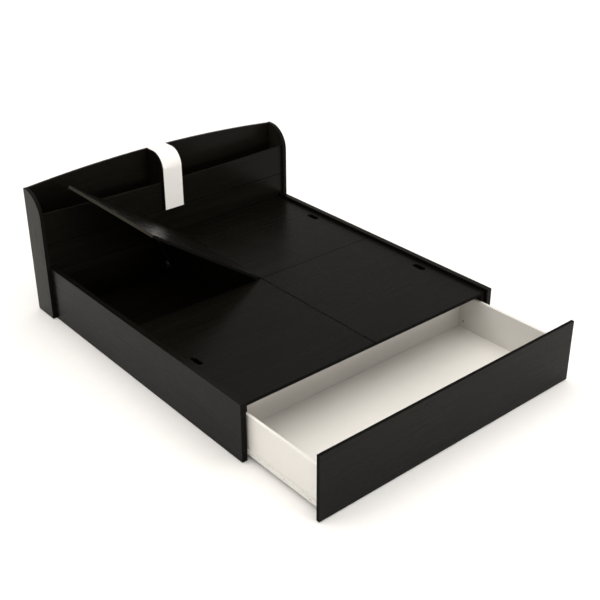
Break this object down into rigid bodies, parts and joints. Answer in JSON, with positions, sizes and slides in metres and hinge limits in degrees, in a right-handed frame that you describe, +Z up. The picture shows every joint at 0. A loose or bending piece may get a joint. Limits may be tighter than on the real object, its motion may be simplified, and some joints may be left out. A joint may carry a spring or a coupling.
{
  "type": "platform storage bed",
  "caption": "Low king-size platform bed with lift-up storage lids, a full-width pull-out foot drawer and an arched headboard with book pockets and a centre band.",
  "frame": {"origin": "middle of the footprint at floor level, with the drawer open as at rest", "axes": "+X across the bed towards the right side seen from the foot, +Y towards the headboard, +Z up"},
  "size_m": [1.962, 2.781, 0.906],
  "materials": {
    "wenge_laminate": "dark wenge laminate, fine straight grain, satin",
    "carcass_wenge": "dark wenge laminate, matt carcass boards",
    "white_melamine": "off-white melamine board, satin",
    "white_laminate": "white laminate, satin",
    "zinc_steel": "zinc-plated pressed steel",
    "white_epoxy_steel": "white epoxy coating",
    "black_tube": "black powder coat",
    "black_cylinder": "black lacquer",
    "polished_rod": "polished steel rod",
    "nylon": "moulded nylon"
  },
  "bodies": {
    "frame": {"left_side_rail": "wenge_laminate", "right_side_rail": "wenge_laminate", "headboard_left_end": "wenge_laminate", "headboard_right_end": "wenge_laminate", "headboard_back_panel": "wenge_laminate", "headboard_upper_boards": "wenge_laminate", "headboard_lower_board": "wenge_laminate", "pocket_floors": "wenge_laminate", "headboard_divider_ribs": "wenge_laminate", "headboard_white_band": "white_laminate", "centre_spine": "wenge_laminate", "mid_partition": "wenge_laminate", "front_stretcher": "black_tube", "centre_bearer": "carcass_wenge", "left_ledger": "carcass_wenge", "right_ledger": "carcass_wenge", "head_ledgers": "carcass_wenge", "left_bin_floor": "carcass_wenge", "right_bin_floor": "carcass_wenge", "bin_cleats": "carcass_wenge", "floor_glides": "nylon", "corner_brackets": "zinc_steel", "bracket_screws": "zinc_steel", "hinge_frame_leaves": "zinc_steel", "hinge_pins": "zinc_steel", "strut_frame_brackets": "zinc_steel", "left_fixed_runner": "white_epoxy_steel", "right_fixed_runner": "white_epoxy_steel"},
    "drawer": {"drawer_front": "wenge_laminate", "drawer_left_side": "white_melamine", "drawer_right_side": "white_melamine", "drawer_back": "white_melamine", "drawer_bottom": "white_melamine", "drawer_cams": "zinc_steel", "left_drawer_runner": "white_epoxy_steel", "right_drawer_runner": "white_epoxy_steel"},
    "left_fixed_roller_wheel": {"left_fixed_roller": "nylon"},
    "left_drawer_roller_wheel": {"left_drawer_roller": "nylon"},
    "right_fixed_roller_wheel": {"right_fixed_roller": "nylon"},
    "right_drawer_roller_wheel": {"right_drawer_roller": "nylon"},
    "front_left_lid": {"front_left_lid": "wenge_laminate", "front_left_hinge_leaves": "zinc_steel", "front_left_strut_bracket": "zinc_steel"},
    "front_left_strut_cylinder": {"front_left_strut_body": "black_cylinder"},
    "front_left_strut_piston": {"front_left_strut_rod": "polished_rod"},
    "front_right_lid": {"front_right_lid": "wenge_laminate", "front_right_hinge_leaves": "zinc_steel", "front_right_strut_bracket": "zinc_steel"},
    "front_right_strut_cylinder": {"front_right_strut_body": "black_cylinder"},
    "front_right_strut_piston": {"front_right_strut_rod": "polished_rod"},
    "rear_left_lid": {"rear_left_lid": "wenge_laminate", "rear_left_hinge_leaves": "zinc_steel", "rear_left_strut_bracket": "zinc_steel"},
    "rear_left_strut_cylinder": {"rear_left_strut_body": "black_cylinder"},
    "rear_left_strut_piston": {"rear_left_strut_rod": "polished_rod"},
    "rear_right_lid": {"rear_right_lid": "wenge_laminate", "rear_right_hinge_leaves": "zinc_steel", "rear_right_strut_bracket": "zinc_steel"},
    "rear_right_strut_cylinder": {"rear_right_strut_body": "black_cylinder"},
    "rear_right_strut_piston": {"rear_right_strut_rod": "polished_rod"}
  },
  "joints": [
    {"name": "drawer_slide", "type": "slide", "parent": "frame", "child": "drawer", "axis": [0, -1, 0], "range_m": [-0.58, 0.056]},
    {"name": "left_fixed_roller_spin", "type": "hinge", "parent": "frame", "child": "left_fixed_roller_wheel", "pos_m": [-0.9163, -0.7735, 0.051], "axis": [1, 0, 0], "continuous": true},
    {"name": "left_drawer_roller_spin", "type": "hinge", "parent": "drawer", "child": "left_drawer_roller_wheel", "pos_m": [-0.9132, -0.6055, 0.048], "axis": [1, 0, 0], "continuous": true},
    {"name": "right_fixed_roller_spin", "type": "hinge", "parent": "frame", "child": "right_fixed_roller_wheel", "pos_m": [0.9163, -0.7735, 0.051], "axis": [1, 0, 0], "continuous": true},
    {"name": "right_drawer_roller_spin", "type": "hinge", "parent": "drawer", "child": "right_drawer_roller_wheel", "pos_m": [0.9132, -0.6055, 0.048], "axis": [1, 0, 0], "continuous": true},
    {"name": "front_left_lid_hinge", "type": "hinge", "parent": "frame", "child": "front_left_lid", "pos_m": [0, 0.1965, 0.34], "axis": [0, 1, 0], "range_deg": [0, 60]},
    {"name": "front_left_strut_foot", "type": "hinge", "parent": "frame", "child": "front_left_strut_cylinder", "pos_m": [-0.07193, 0.1965, 0.10057], "axis": [0, 1, 0], "range_deg": [0, 30]},
    {"name": "front_left_strut_head", "type": "hinge", "parent": "front_left_lid", "child": "front_left_strut_piston", "pos_m": [-0.24739, 0.1965, 0.304], "axis": [0, 1, 0], "range_deg": [-30, 0]},
    {"name": "front_right_lid_hinge", "type": "hinge", "parent": "frame", "child": "front_right_lid", "pos_m": [0, 0.1965, 0.34], "axis": [0, -1, 0], "range_deg": [0, 60]},
    {"name": "front_right_strut_foot", "type": "hinge", "parent": "frame", "child": "front_right_strut_cylinder", "pos_m": [0.07193, 0.1965, 0.10057], "axis": [0, -1, 0], "range_deg": [0, 30]},
    {"name": "front_right_strut_head", "type": "hinge", "parent": "front_right_lid", "child": "front_right_strut_piston", "pos_m": [0.24739, 0.1965, 0.304], "axis": [0, -1, 0], "range_deg": [-30, 0]},
    {"name": "rear_left_lid_hinge", "type": "hinge", "parent": "frame", "child": "rear_left_lid", "pos_m": [0, 1.1805, 0.34], "axis": [0, 1, 0], "range_deg": [-35, 25]},
    {"name": "rear_left_strut_foot", "type": "hinge", "parent": "frame", "child": "rear_left_strut_cylinder", "pos_m": [-0.07193, 1.1805, 0.10057], "axis": [0, 1, 0], "range_deg": [-17.5, 12.5]},
    {"name": "rear_left_strut_head", "type": "hinge", "parent": "rear_left_lid", "child": "rear_left_strut_piston", "pos_m": [-0.2233, 1.1805, 0.45241], "axis": [0, 1, 0], "range_deg": [-12.5, 17.5]},
    {"name": "rear_right_lid_hinge", "type": "hinge", "parent": "frame", "child": "rear_right_lid", "pos_m": [0, 1.1805, 0.34], "axis": [0, -1, 0], "range_deg": [0, 60]},
    {"name": "rear_right_strut_foot", "type": "hinge", "parent": "frame", "child": "rear_right_strut_cylinder", "pos_m": [0.07193, 1.1805, 0.10057], "axis": [0, -1, 0], "range_deg": [0, 30]},
    {"name": "rear_right_strut_head", "type": "hinge", "parent": "rear_right_lid", "child": "rear_right_strut_piston", "pos_m": [0.24739, 1.1805, 0.304], "axis": [0, -1, 0], "range_deg": [-30, 0]}
  ],
  "couplings": [
    {"joint": "left_fixed_roller_spin", "follows": "drawer_slide", "rad_per_m": 95.238},
    {"joint": "left_drawer_roller_spin", "follows": "drawer_slide", "rad_per_m": 95.238},
    {"joint": "right_fixed_roller_spin", "follows": "drawer_slide", "rad_per_m": 95.238},
    {"joint": "right_drawer_roller_spin", "follows": "drawer_slide", "rad_per_m": 95.238},
    {"joint": "front_left_strut_foot", "follows": "front_left_lid_hinge", "ratio": 0.5},
    {"joint": "front_left_strut_head", "follows": "front_left_lid_hinge", "ratio": -0.5},
    {"joint": "front_right_strut_foot", "follows": "front_right_lid_hinge", "ratio": 0.5},
    {"joint": "front_right_strut_head", "follows": "front_right_lid_hinge", "ratio": -0.5},
    {"joint": "rear_left_strut_foot", "follows": "rear_left_lid_hinge", "ratio": 0.5},
    {"joint": "rear_left_strut_head", "follows": "rear_left_lid_hinge", "ratio": -0.5},
    {"joint": "rear_right_strut_foot", "follows": "rear_right_lid_hinge", "ratio": 0.5},
    {"joint": "rear_right_strut_head", "follows": "rear_right_lid_hinge", "ratio": -0.5}
  ]
}
